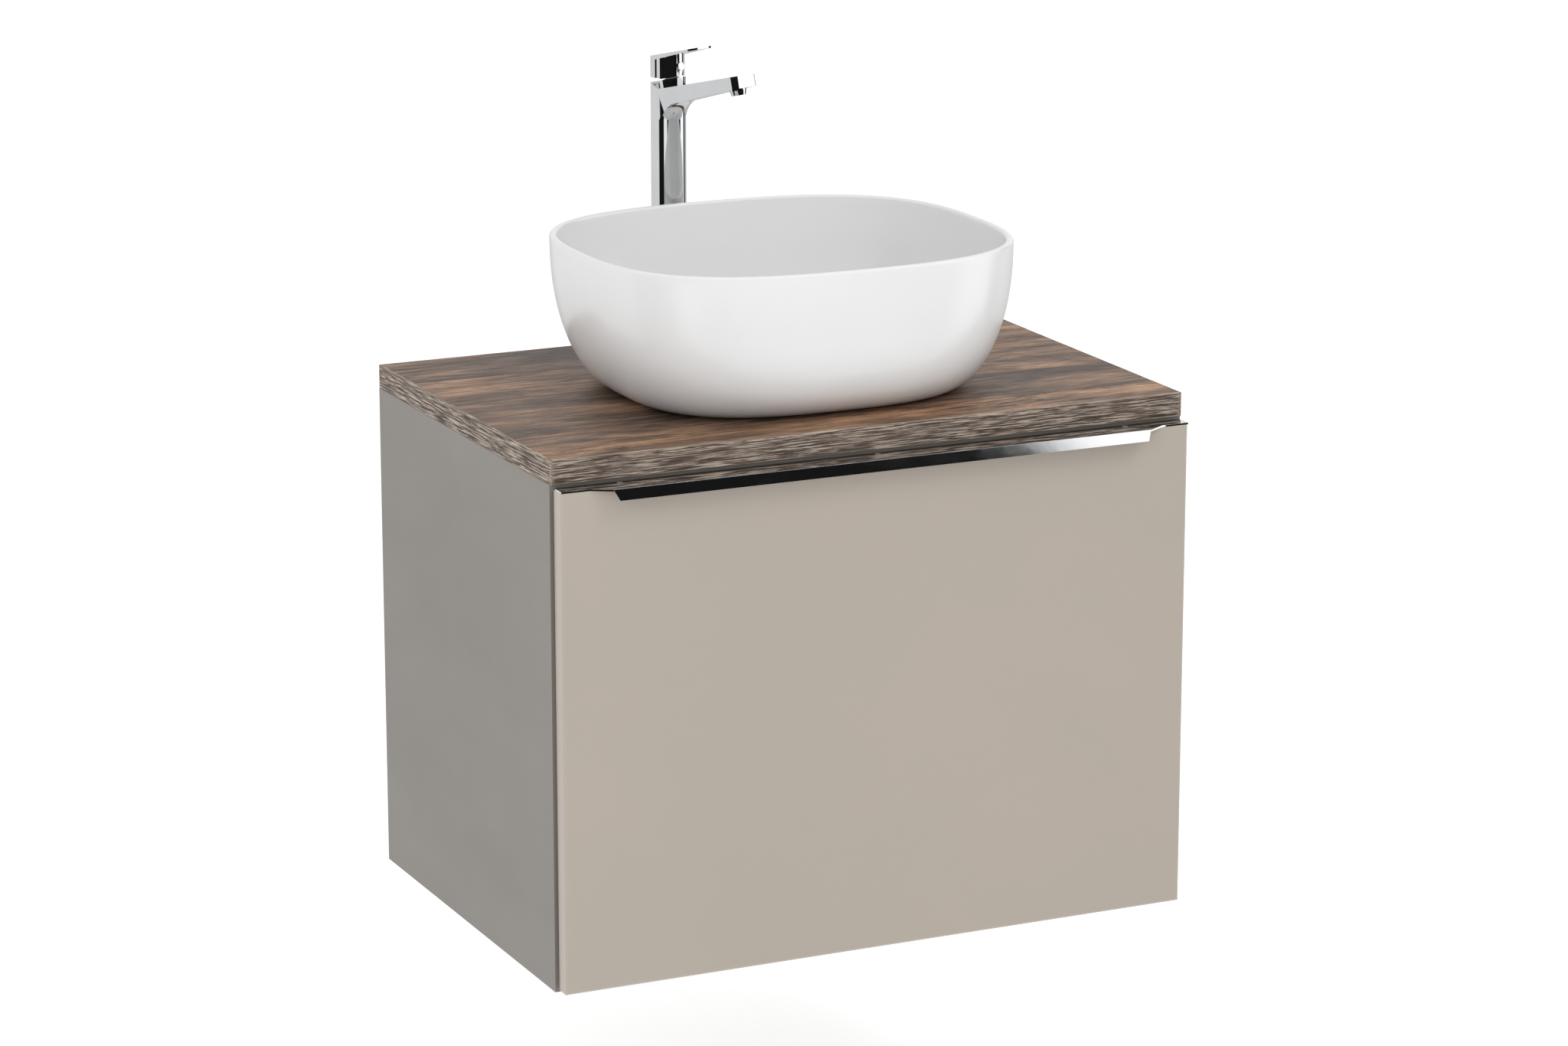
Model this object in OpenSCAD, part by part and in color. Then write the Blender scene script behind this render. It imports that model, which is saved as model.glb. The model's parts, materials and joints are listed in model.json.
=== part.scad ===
// Wall-hung bathroom vanity: one deep drawer under a worktop, a vessel basin
// standing on the worktop and a tall single-lever tap behind it.
// Frame: X to the right, -Y out of the wall into the room, +Z up. The wall is the plane
// y = 0, and the origin is the middle of the cabinet's lower back edge, on the wall.

/* [Worktop] */
// Width of the worktop and of the cabinet under it
top_w = 700; // [660:10:760]
// Depth of the worktop from the wall to its front edge
top_d = 470; // [465:5:490]
// Thickness of the worktop
top_t = 25; // [22:1:30]
// Thickness of the worktop's edging strips
band_t = 2; // [1:0.5:3]

/* [Cabinet] */
// Height of the cabinet below the worktop
cab_h = 520; // [510:10:560]
// Thickness of the cabinet's boards
board_t = 16; // [15:1:18]
// How far the side panels stay behind the worktop's front edge
side_set = 2.5; // [0:0.5:5]
// Depth of the service gap between the wall and the hanging rail
wall_gap = 18; // [16:1:20]

/* [Drawer] */
// Thickness of the drawer front
front_t = 19; // [16:1:22]
// Gap between the side panels and the closed drawer front
front_gap = 3.5; // [3:0.5:5]
// How much narrower than the cabinet the drawer front is, each side
front_inset = 3; // [1:0.5:5]
// Radius of the drawer front's rounded edges
front_round = 3; // [1:0.5:4]
// Height of the drawer's side boards
drawer_side_h = 300; // [240:10:320]
// Thickness of the drawer's side and back boards
drawer_t = 15; // [12:1:15]
// Width taken by each set of runners
runner_w = 12.7; // [12.7:0.1:13.5]
// Length of the runners
runner_len = 400; // [350:10:400]

/* [Handle] */
// Thickness of the handle profile's metal
grip_t = 2; // [1.5:0.5:2.5]
// How far the handle's lip stands out from the drawer front
grip_out = 12; // [10:1:16]
// Height of the turned-down lip
grip_lip = 10.5; // [8:0.5:14]
// Plain flange left at each end of the handle
grip_plain = 30; // [20:1:40]
// Length of the tapered corner between plain flange and lip
grip_taper = 20; // [10:1:25]
// How much the lip's ends lean inward at the bottom
grip_lean = 5; // [2:0.5:8]
// How much further out the lip's lower edge stands than its upper edge
grip_slope = 5.5; // [2:0.5:7]

/* [Basin] */
// Width of the basin's rim
basin_w = 454; // [430:2:470]
// Depth of the basin's rim, front to back
basin_d = 404; // [380:2:408]
// Height of the basin
basin_h = 156; // [140:1:165]
// How far the foot is inside the rim, all round
basin_flare = 61; // [50:1:70]
// Squareness of the basin's outline, where 2 is an ellipse
basin_square = 2.8; // [2.2:0.1:3.2]
// Thickness of the basin's rim
rim_t = 7.5; // [6:0.5:9]
// Thickness of the ceramic at the basin's floor
floor_t = 14; // [12:1:18]
// Basin centre to the left of the worktop's centre
basin_left = 5; // [0:1:10]
// Rim's front to the worktop's front edge
basin_back = 9; // [5:1:12]

/* [Tap] */
// Width of the tap's column, hub and spout
tap_w = 34; // [34:1:36]
// Length of the flat sides of the column
tap_flat = 12; // [12:1:14]
// Height of the lever's seat at the column's axis
tap_h = 284; // [260:1:300]
// How far the spout's top lies below the lever's seat
collar_h = 8.7; // [7:0.1:9]
// Upward tilt of the spout and of the lever, in degrees
tap_tilt = 13; // [12:1:16]
// Turn of the tap towards the right of straight ahead, in degrees
tap_turn = 20; // [10:1:25]
// Reach of the spout from the column's axis to its tip
spout_reach = 109; // [104:1:120]
// Thickness of the spout at the column
spout_t = 18; // [17:1:20]
// Thickness of the spout at its tip
spout_tip_t = 13; // [12:1:15]
// Reach of the lever from the column's axis to its tip
lever_reach = 44; // [40:1:50]
// Height of the lever's hub
hub_h = 28; // [27:1:34]
// Lift of the lever, in degrees
lever_lift = 15; // [12:1:18]
// Tap's axis to the left of the worktop's centre
tap_left = 26; // [20:1:30]
// Tap's axis to the wall
tap_back = 32; // [30:1:33]

/* [Drain] */
// Outer radius of the waste's threaded tube
waste_r = 21; // [20.5:0.1:21]
// Outer radius of the trap's pipes
pipe_r = 16; // [15.9:0.1:16.1]
// Height of the trap's outlet above the cabinet's underside
outlet_z = 318; // [310:1:322]

/* [Hidden] */
$fn = 64;
eps = 0.01;
big = 900;
small_gap = 1;

// Cabinet
in_x = top_w / 2 - board_t;
cab_d = top_d - side_set;
top_z = cab_h + top_t;
back_rail_h = 100;
front_rail_d = 80;
hang_z0 = 360;
hang_z1 = 462;
hang_y = -wall_gap - board_t;

// Cam locks: distance from the side panel, size and depth
cam_in = 24;
cam_r = 7.5;
cam_deep = 12;
bolt_r = 3;
bolt_into = 11;
bolt_in_cam = 3;

// Hangers and wall plates
hanger_w = 18;
hanger_d = 26;
hanger_z0 = 385;
hanger_z1 = 445;
hook_t = 6;
hook_x = 3;
hook_w = 10;
plate_w = 44;
plate_t = 3;
plate_lip = 6;
plate_z0 = 370;
plate_z1 = 420;
plate_hole_r = 3.2;
plate_hole_x = 310;
plate_hole_z = [382, 406];
hook_z = plate_z1 + 16;
tongue_t = 2.4;

// Drawer
front_y1 = -(cab_d + front_gap);
front_y0 = front_y1 - front_t;
front_w = top_w - 2 * front_inset;
front_z0 = 3;
shadow_gap = 2.3;
grip_z1 = cab_h - shadow_gap;
front_z1 = grip_z1 - grip_t;
drawer_out = in_x - runner_w;
drawer_in = drawer_out - drawer_t;
drawer_z0 = 40;
drawer_z1 = drawer_z0 + drawer_side_h;
drawer_floor = 12;
drawer_y1 = -45;
backs_y0 = drawer_y1 - drawer_t;
runner_z = 92;
runner_y0 = front_y1 + 14;
runner_half = 22.5;
runner_t = 1.2;
race = 2.2;
web_gap = 1;

// Basin and drain
bx = -basin_left;
by = -(top_d - basin_back - basin_d / 2);
seal_t = 1;
bz = top_z + seal_t;
rim_z = bz + basin_h;
drain_hole_r = 22.5;
waste_flange_r = 31.5;
recess_r = 33;
gasket_t = 1.5;
waste_in_r = 18;
waste_bottom = 478;
worktop_drain_r = 30;
pipe_in_r = pipe_r - 1.5;
cup_r = 32;
guard_r = 70;
guard_t = 4;
ring_n = 96;

// Tap: u runs forward along the spout, v to its left, z up from the tap's foot
tap_seal_t = 1.5;
tap_z = top_z + tap_seal_t;
tap_hole_r = 16.5;
foot_r = 24;
foot_h = 6;
tap_r = tap_w / 2;
tap_rear = -15;
tap_round_u = tap_rear + tap_flat;
tilt_c = cos(tap_tilt);
seat_r = 12;
seat_deep = 20;
neck_r = 8;
carrier_r = 6.5;
hub_gap = 1.2;
hub_cave_r = 10.5;
hub_cave_h = 8;
stem_w = 6;
stem_top = 19;
stem_foot = 2;
slot_deep = 3.2;
plate_thick = 5.4;
spout_fillet = 25;
duct_r = 3;
duct_z = -6.5;
aerator_top = -8;
aerator_u = 99;
aerator_r = 9;
inlet_u = 4;
inlet_v = 6.5;
inlet_r = 4.5;
inlet_deep = 12;
stud_u = -12;
stud_r = 4;
stud_deep = 28;
screw_z = 11;
screw_r = 2.5;
cap_u = 15.2;
plate_end_t = 2.2;
drum_in = 1.3;
slab_u = -8;
collar_r = 15;
chamfer_u = -4;
cap_r = 4.5;
cap_t = 2.4;

board_color = [0.60, 0.57, 0.53];
front_color = [0.70, 0.67, 0.63];
oak_color = [0.45, 0.34, 0.26];
band_color = [0.42, 0.36, 0.30];
steel = [0.70, 0.71, 0.73];
chrome = [0.86, 0.87, 0.89];
rubber = [0.12, 0.12, 0.12];
ceramic_white = [0.95, 0.95, 0.95];
plastic_white = [0.90, 0.90, 0.89];

// ---- helpers ----

// A box given by its low and high corners
module span(lo, hi) {
    translate(lo) cube(hi - lo);
}

// The child as drawn for the right side, and its mirror image for the left
module both_sides() {
    for (side = [0, 1]) mirror([side, 0, 0]) children();
}

// A ring about Z
module ring(r_in, r_out, z0, z1) {
    translate([0, 0, z0]) difference() {
        cylinder(r = r_out, h = z1 - z0);
        translate([0, 0, -eps]) cylinder(r = r_in, h = z1 - z0 + 2 * eps);
    }
}

// A hexagon nut about Z
module hex_nut(across, r_in, z0, z1) {
    translate([0, 0, z0]) difference() {
        cylinder(r = across / sqrt(3), h = z1 - z0, $fn = 6);
        translate([0, 0, -eps]) cylinder(r = r_in, h = z1 - z0 + 2 * eps);
    }
}

// A cylinder along X from x0 to x1, and one along Y from y0 to y1
module rod_x(r, x0, x1, y, z) {
    translate([x0, y, z]) rotate([0, 90, 0]) cylinder(r = r, h = x1 - x0);
}
module rod_y(r, y0, y1, x, z) {
    translate([x, y0, z]) rotate([-90, 0, 0]) cylinder(r = r, h = y1 - y0);
}
module rod_z(r, z0, z1, x, y) {
    translate([x, y, z0]) cylinder(r = r, h = z1 - z0);
}

// ---- cabinet ----

// Where each cam lock sits: along Y or Z, with its bolt at half the board's thickness
bottom_cam_y = [-90, -380];
rail_cam_y = -cab_d + 40;
hang_cam_z = [hang_z0 + 12, hang_z1 - 9];
low_cam_z = 55;

module cams_at_right(r, deep) {
    x = in_x - cam_in;
    for (y = bottom_cam_y) rod_z(r, 0, deep, x, y);
    rod_z(r, cab_h - board_t, cab_h - board_t + deep, x, rail_cam_y);
    for (z = hang_cam_z) rod_y(r, hang_y, hang_y + deep, x, z);
    rod_y(r, -board_t, -board_t + deep, x, low_cam_z);
}

// The bolts, from inside each cam to some way into the side panel
module cam_bolts_at_right() {
    x0 = in_x - cam_in + bolt_in_cam;
    x1 = in_x + bolt_into;
    for (y = bottom_cam_y) rod_x(bolt_r, x0, x1, y, board_t / 2);
    rod_x(bolt_r, x0, x1, rail_cam_y, cab_h - board_t / 2);
    for (z = hang_cam_z) rod_x(bolt_r, x0, x1, hang_y + board_t / 2, z);
    rod_x(bolt_r, x0, x1, -board_t / 2, low_cam_z);
}

module cam_holes() {
    both_sides() {
        cams_at_right(cam_r, cam_deep);
        cam_bolts_at_right();
    }
}

module side_panel_right() {
    color(board_color) difference() {
        span([in_x, -cab_d, 0], [top_w / 2, 0, cab_h]);
        cam_bolts_at_right();
        runner_screw_holes();
    }
}

module side_panel_left() {
    mirror([1, 0, 0]) side_panel_right();
}

module bottom_panel() {
    color(board_color) difference() {
        span([-in_x, -cab_d, 0], [in_x, -board_t, board_t]);
        cam_holes();
    }
}

module front_rail() {
    color(board_color) difference() {
        span([-in_x, -cab_d, cab_h - board_t], [in_x, -cab_d + front_rail_d, cab_h]);
        cam_holes();
        for (x = top_screw_x) rod_z(top_screw_r, 0, big, x, rail_cam_y);
    }
}

module hanging_rail() {
    color(board_color) difference() {
        span([-in_x, hang_y, hang_z0], [in_x, -wall_gap, hang_z1]);
        cam_holes();
        both_sides() span([in_x - hanger_w - small_gap, hang_y - 1, hanger_z0 - small_gap],
                          [in_x + 1, 0, hanger_z1 + small_gap]);
        for (x = bracket_x) rod_y(bracket_screw_r, hang_y - 1, hang_y + 12, x, bracket_screw_z);
    }
}

module lower_back_rail() {
    color(board_color) difference() {
        span([-in_x, -board_t, 0], [in_x, 0, back_rail_h]);
        cam_holes();
    }
}

module cam_locks() {
    color(steel) both_sides() difference() {
        cams_at_right(cam_r, cam_deep);
        cam_bolts_at_right();
        for (y = bottom_cam_y) span([in_x - cam_in - 4, y - 0.8, -1], [in_x - cam_in + 4, y + 0.8, 2]);
    }
}

module cam_bolts() {
    color(steel) both_sides() cam_bolts_at_right();
}

module worktop() {
    color(oak_color) difference() {
        span([-top_w / 2 + band_t, -top_d + band_t, cab_h], [top_w / 2 - band_t, 0, top_z]);
        rod_z(worktop_drain_r, cab_h - 1, top_z + 1, bx, by);
        rod_z(tap_hole_r, cab_h - 1, top_z + 1, -tap_left, -tap_back);
        for (x = top_screw_x) rod_z(top_screw_r, cab_h - 1, top_screw_z1, x, rail_cam_y);
        for (x = bracket_x) rod_z(bracket_screw_r, cab_h - 1, bracket_top_z1, x, bracket_top_y);
    }
}

module edge_band_front() {
    color(band_color) span([-top_w / 2 + band_t, -top_d, cab_h],
                           [top_w / 2 - band_t, -top_d + band_t, top_z]);
}

module edge_band_right() {
    color(band_color) span([top_w / 2 - band_t, -top_d, cab_h], [top_w / 2, 0, top_z]);
}

module edge_band_left() {
    mirror([1, 0, 0]) edge_band_right();
}

// Angle brackets that hold the worktop's back to the hanging rail
top_screw_x = [-200, 200];
top_screw_r = 2.2;
top_screw_z1 = cab_h + 18;
bracket_x = [-170, 170];
bracket_w = 30;
bracket_t = 2;
bracket_leg = 32;
bracket_top_z1 = cab_h + 14;
bracket_top_y = hang_y - bracket_leg / 2 - 4;
bracket_screw_r = 2;
bracket_screw_z = hang_z1 - 12;

module top_brackets() {
    color(steel) for (x = bracket_x) difference() {
        union() {
            span([x - bracket_w / 2, hang_y - bracket_t, hang_z1 - 24], [x + bracket_w / 2, hang_y, cab_h]);
            span([x - bracket_w / 2, hang_y - bracket_leg, cab_h - bracket_t],
                 [x + bracket_w / 2, hang_y, cab_h]);
        }
        rod_z(bracket_screw_r, cab_h - 9, cab_h + 1, x, bracket_top_y);
        rod_y(bracket_screw_r, hang_y - 9, hang_y + 1, x, bracket_screw_z);
    }
}

// Screws: worktop, brackets and cabinet members of the runners
module cabinet_screws() {
    color(steel) {
        for (x = top_screw_x) {
            rod_z(top_screw_r, cab_h - board_t, top_screw_z1, x, rail_cam_y);
            rod_z(2 * top_screw_r, cab_h - board_t - 2.4, cab_h - board_t, x, rail_cam_y);
        }
        for (x = bracket_x) {
            rod_z(bracket_screw_r, cab_h - bracket_t, bracket_top_z1, x, bracket_top_y);
            rod_z(2 * bracket_screw_r, cab_h - bracket_t - 2, cab_h - bracket_t, x, bracket_top_y);
            rod_y(bracket_screw_r, hang_y - bracket_t, hang_y + 12, x, bracket_screw_z);
            rod_y(2 * bracket_screw_r, hang_y - bracket_t - 2, hang_y - bracket_t, x, bracket_screw_z);
        }
        both_sides() for (y = runner_screw_y) {
            rod_x(runner_screw_r, in_x, in_x + runner_screw_len, y, runner_z);
            rod_x(runner_head_r, in_x - runner_t, in_x, y, runner_z);
        }
    }
}

// Hanger body inside each upper back corner; its hook reaches over the wall plate
module hangers() {
    x0 = in_x - hanger_w;
    color(steel) both_sides() difference() {
        union() {
            span([x0, hang_y - hanger_d, hanger_z0], [in_x, hang_y, hanger_z1]);
            span([x0 + hook_x, hang_y, hook_z], [x0 + hook_x + hook_w, -tongue_t, hook_z + hook_t]);
            span([x0 + hook_x, -2 * tongue_t, hook_z - 12], [x0 + hook_x + hook_w, -tongue_t, hook_z]);
        }
        for (z = adjuster_z) rod_y(adjuster_r, hang_y - hanger_d - 1, hang_y - hanger_d + adjuster_deep,
                                   in_x - hanger_w / 2, z);
    }
}

adjuster_z = [400, 424];
adjuster_r = 4;
adjuster_deep = 10;

module hanger_adjusters() {
    color(chrome) both_sides() for (z = adjuster_z) difference() {
        rod_y(adjuster_r, hang_y - hanger_d - 1.5, hang_y - hanger_d + adjuster_deep, in_x - hanger_w / 2, z);
        span([in_x - hanger_w / 2 - 3, hang_y - hanger_d - 2, z - 0.5],
             [in_x - hanger_w / 2 + 3, hang_y - hanger_d - 0.5, z + 0.5]);
    }
}

// Plates screwed to the wall; the upper edge stands off so that the hook drops behind it
module wall_plates() {
    x0 = in_x - plate_w;
    x1 = in_x - 1;
    color(steel) both_sides() difference() {
        union() {
            span([x0, -plate_t, plate_z0], [x1, 0, plate_z1]);
            span([x0, -plate_lip - plate_t, plate_z1 - plate_t], [x1, 0, plate_z1]);
            span([x0, -plate_lip - plate_t, plate_z1 - plate_t], [x1, -plate_lip, hook_z]);
        }
        for (z = plate_hole_z) rod_y(plate_hole_r, -plate_t - 1, 1, plate_hole_x, z);
    }
}

// ---- runners ----

runner_screw_y = [runner_y0 + 30, runner_y0 + runner_len / 2, runner_y0 + runner_len - 30];
runner_screw_r = 1.75;
runner_head_r = 3.2;
runner_screw_len = 12;
middle_half = runner_half - runner_t - race;
inner_half = middle_half - runner_t - race;

// A channel section along Y, its web at web_x and its flanges reaching towards open_x
module channel(web_x, open_x, half) {
    dir = open_x > web_x ? 1 : -1;
    lo = min(web_x, open_x);
    hi = max(web_x, open_x);
    web_lo = dir > 0 ? web_x : web_x - runner_t;
    translate([0, runner_y0, 0]) {
        span([web_lo, 0, runner_z - half], [web_lo + runner_t, runner_len, runner_z + half]);
        span([lo, 0, runner_z + half - runner_t], [hi, runner_len, runner_z + half]);
        span([lo, 0, runner_z - half], [hi, runner_len, runner_z - half + runner_t]);
    }
}

module runner_screw_holes() {
    for (y = runner_screw_y) rod_x(runner_screw_r, in_x - 1, in_x + runner_screw_len, y, runner_z);
}

module runner_cabinet_members() {
    color(steel) both_sides() difference() {
        channel(in_x, drawer_out + 1.5, runner_half);
        for (y = runner_screw_y) rod_x(runner_head_r, in_x - runner_t - 1, in_x + 1, y, runner_z);
    }
}

module runner_middle_members() {
    color(steel) both_sides() channel(in_x - runner_t - web_gap, drawer_out + 1.5, middle_half);
}

module runner_drawer_members() {
    color(steel) both_sides() difference() {
        channel(drawer_out, in_x - 2 * runner_t - web_gap - 1.2, inner_half);
        for (y = runner_screw_y) rod_x(runner_head_r, drawer_out - 1, drawer_out + runner_t + 1, y, runner_z);
    }
}

module bumper_pads() {
    color(rubber) both_sides() for (z = [60, 460])
        rod_y(4, -cab_d - 2, -cab_d, top_w / 2 - board_t / 2, z);
}

// ---- drawer ----

grip_screw_x = [-280, 0, 280];
grip_screw_y = front_y1 - 8;
grip_screw_r = 1.75;
grip_screw_len = 20;
angle_w = 30;
angle_t = 2;
angle_z = [drawer_z0 + 50, drawer_z0 + 260];
angle_screw_z = [drawer_z0 + 75, drawer_z0 + 235];

// Front board: rounded on its upright edges and along its lower edge
module drawer_front() {
    x = front_w / 2;
    r = front_round;
    color(front_color) difference() {
        intersection() {
            translate([0, 0, front_z0]) linear_extrude(front_z1 - front_z0) union() {
                translate([-x, front_y0 + r]) square([2 * x, front_t - r]);
                translate([-x + r, front_y0]) square([2 * (x - r), r + eps]);
                for (side = [-1, 1]) translate([side * (x - r), front_y0 + r]) circle(r = r);
            }
            rotate([90, 0, 90]) translate([0, 0, -x]) linear_extrude(2 * x) union() {
                translate([front_y0 + r, front_z0]) square([front_t - r, front_z1 - front_z0]);
                translate([front_y0, front_z0 + r]) square([r + eps, front_z1 - front_z0 - r]);
                translate([front_y0 + r, front_z0 + r]) circle(r = r);
            }
        }
        for (sx = grip_screw_x)
            rod_z(grip_screw_r, front_z1 - grip_screw_len, front_z1 + 1, sx, grip_screw_y);
        both_sides() for (z = angle_screw_z)
            rod_y(grip_screw_r, front_y1 - 12, front_y1 + 1, drawer_in - angle_w + 8, z);
    }
}

// Edge profile: a flange over the board's top whose middle stands out and turns down
module handle_profile() {
    x = front_w / 2;
    plain = x - grip_plain;
    full = plain - grip_taper;
    lip_y = front_y0 - grip_out;
    lip_z = grip_z1 - grip_lip;
    inside = grip_t * norm([grip_lip, grip_slope]) / grip_lip;
    color(chrome) difference() {
        union() {
            translate([0, 0, front_z1]) linear_extrude(grip_t) polygon([
                [-x, front_y1], [-x, front_y0], [-plain, front_y0], [-full, lip_y],
                [full, lip_y], [plain, front_y0], [x, front_y0], [x, front_y1]]);
            intersection() {
                rotate([90, 0, 90]) translate([0, 0, -full]) linear_extrude(2 * full) polygon([
                    [lip_y, grip_z1], [lip_y + inside, grip_z1],
                    [lip_y + inside - grip_slope, lip_z], [lip_y - grip_slope, lip_z]]);
                rotate([90, 0, 0]) linear_extrude(big) polygon([
                    [-full, grip_z1], [full, grip_z1], [full - grip_lean, lip_z],
                    [-full + grip_lean, lip_z]]);
            }
        }
        for (sx = grip_screw_x) rod_z(2 * grip_screw_r, front_z1 - 1, grip_z1 + 1, sx, grip_screw_y);
    }
}

module drawer_side_right() {
    color(plastic_white) difference() {
        span([drawer_in, front_y1, drawer_z0], [drawer_out, drawer_y1, drawer_z1]);
        for (y = runner_screw_y) rod_x(runner_screw_r, drawer_out - 10, drawer_out + 1, y, runner_z);
        for (z = angle_screw_z) rod_x(grip_screw_r, drawer_in - 1, drawer_in + 10, front_y1 + 20, z);
    }
}

module drawer_side_left() {
    mirror([1, 0, 0]) drawer_side_right();
}

// Two boards, one on each side of the cut-out for the trap
module drawer_back_boards() {
    color(plastic_white) {
        span([-drawer_in, backs_y0, drawer_z0], [bx - guard_r - guard_t, drawer_y1, drawer_z1]);
        span([bx + guard_r + guard_t, backs_y0, drawer_z0], [drawer_in, drawer_y1, drawer_z1]);
    }
}

module drawer_bottom() {
    r = guard_r + guard_t;
    color(plastic_white) difference() {
        span([-drawer_in, front_y1, drawer_z0], [drawer_in, backs_y0, drawer_z0 + drawer_floor]);
        rod_z(r, drawer_z0 - 1, drawer_z0 + drawer_floor + 1, bx, by);
        span([bx - r, by, drawer_z0 - 1], [bx + r, 0, drawer_z0 + drawer_floor + 1]);
    }
}

// U-shaped wall round the trap's cut-out, open to the back
module siphon_guard() {
    r = guard_r + guard_t;
    color(plastic_white) translate([bx, by, drawer_z0]) difference() {
        union() {
            cylinder(r = r, h = drawer_side_h);
            span([-r, 0, 0], [r, drawer_y1 - by, drawer_side_h]);
        }
        translate([0, 0, -1]) cylinder(r = guard_r, h = drawer_side_h + 2);
        span([-guard_r, 0, -1], [guard_r, drawer_y1 - by + 1, drawer_side_h + 2]);
    }
}

// Steel angles that join the front board to the drawer's sides
module front_brackets() {
    color(steel) both_sides() difference() {
        union() {
            span([drawer_in - angle_t, front_y1, angle_z[0]], [drawer_in, front_y1 + angle_w, angle_z[1]]);
            span([drawer_in - angle_w, front_y1, angle_z[0]], [drawer_in, front_y1 + angle_t, angle_z[1]]);
        }
        for (z = angle_screw_z) {
            rod_x(grip_screw_r, drawer_in - 9, drawer_in + 1, front_y1 + 20, z);
            rod_y(grip_screw_r, front_y1 - 1, front_y1 + 9, drawer_in - angle_w + 8, z);
        }
    }
}

module drawer_screws() {
    head = 2 * grip_screw_r;
    color(steel) {
        for (sx = grip_screw_x) {
            rod_z(grip_screw_r, front_z1 - grip_screw_len, front_z1 + eps, sx, grip_screw_y);
            rod_z(head, front_z1, grip_z1 - 0.2, sx, grip_screw_y);
        }
        both_sides() {
            for (y = runner_screw_y) {
                rod_x(runner_screw_r, drawer_out - 10, drawer_out + eps, y, runner_z);
                rod_x(runner_head_r, drawer_out, drawer_out + runner_t, y, runner_z);
            }
            for (z = angle_screw_z) {
                rod_x(grip_screw_r, drawer_in - angle_t - eps, drawer_in + 10, front_y1 + 20, z);
                rod_x(head, drawer_in - angle_t - 2, drawer_in - angle_t, front_y1 + 20, z);
                rod_y(grip_screw_r, front_y1 - 12, front_y1 + angle_t + eps, drawer_in - angle_w + 8, z);
                rod_y(head, front_y1 + angle_t, front_y1 + angle_t + 2, drawer_in - angle_w + 8, z);
            }
        }
    }
}

// ---- basin ----

// Share of the flare reached at a share t of the height
function flare_at(t) = pow(1 - pow(1 - t, 2.2), 1 / 1.8);

// One ring of the basin: half sizes a and b, squareness n, height z
function basin_ring(a, b, n, z) = [
    for (i = [0 : ring_n - 1])
        let (t = i * 360 / ring_n,
             c = cos(t),
             s = sin(t),
             r = pow(pow(abs(c) / a, n) + pow(abs(s) / b, n), -1 / n))
        [r * c, r * s, z]];

half_w = basin_w / 2;
half_d = basin_d / 2;
wall_steps = 12;
rim_steps = 6;
inner_floor = floor_t + 3;
inner_inset = 20;
rim_low = basin_h - rim_t / 2;

outer_rings = [
    for (k = [0 : wall_steps])
        let (t = 1 - cos(k * 90 / wall_steps),
             f = basin_flare * (1 - flare_at(t)))
        basin_ring(half_w - f, half_d - f, basin_square, t * rim_low)];

rim_rings = [
    for (k = [1 : rim_steps - 1])
        let (turn = k * 180 / rim_steps,
             f = rim_t / 2 * (1 - cos(turn)))
        basin_ring(half_w - f, half_d - f, basin_square, rim_low + rim_t / 2 * sin(turn))];

inner_rings = [
    for (k = [wall_steps : -1 : 0])
        let (t = 1 - cos(k * 90 / wall_steps),
             f = rim_t + (basin_flare + inner_inset - rim_t) * (1 - flare_at(t)))
        basin_ring(half_w - f, half_d - f, basin_square, inner_floor + t * (rim_low - inner_floor))];

// The bowl's floor falls gently from its edge to the drain
floor_rings = [
    for (share = [0.75, 0.5, 0.3])
        let (f = basin_flare + inner_inset,
             n = 2 + (basin_square - 2) * share)
        basin_ring(share * (half_w - f), share * (half_d - f) * (1.3 - 0.3 * share), n,
                   floor_t + (inner_floor - floor_t) * share * share)];

basin_rings = concat(outer_rings, rim_rings, inner_rings, floor_rings);

module basin_solid() {
    last = len(basin_rings) - 1;
    points = [for (one = basin_rings) each one];
    walls = [
        for (k = [0 : last - 1], i = [0 : ring_n - 1])
            let (j = (i + 1) % ring_n)
            each [[k * ring_n + i, (k + 1) * ring_n + i, (k + 1) * ring_n + j],
                  [k * ring_n + i, (k + 1) * ring_n + j, k * ring_n + j]]];
    foot = [for (i = [0 : ring_n - 1]) i];
    bowl = [for (i = [ring_n - 1 : -1 : 0]) last * ring_n + i];
    polyhedron(points = points, faces = concat(walls, [foot, bowl]), convexity = 6);
}

module basin() {
    color(ceramic_white) translate([bx, by, bz]) difference() {
        basin_solid();
        translate([0, 0, -1]) cylinder(r = drain_hole_r, h = floor_t + 10);
        translate([0, 0, floor_t - gasket_t]) cylinder(r = recess_r, h = 10);
    }
}

module basin_seal() {
    f = basin_flare + 8;
    outer = [for (p = basin_ring(half_w - f, half_d - f, basin_square, 0)) [p[0], p[1]]];
    inner = [for (p = basin_ring(half_w - f - 8, half_d - f - 8, basin_square, 0)) [p[0], p[1]]];
    color(plastic_white) translate([bx, by, top_z]) linear_extrude(seal_t) difference() {
        polygon(outer);
        polygon(inner);
    }
}

// ---- waste and trap ----

floor_z = bz + floor_t - gasket_t;
flange_z = floor_z + gasket_t;
flange_t = 3;
plug_r = 24;
plug_h = 5;
guide_r = 5;
guide_z = flange_z - 30;
nut_h = 10;
washer_t = 3;
inlet_nut_z0 = 466;
inlet_nut_z1 = 490;
body_z0 = outlet_z - 34;
body_z1 = outlet_z + 26;
cup_z0 = outlet_z - 110;
tube_z0 = outlet_z - 72;
outlet_nut_r = 24;
outlet_in_y = by + cup_r + 14;
pipe_lip = 0.6;
pipe_free = 110;

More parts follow.
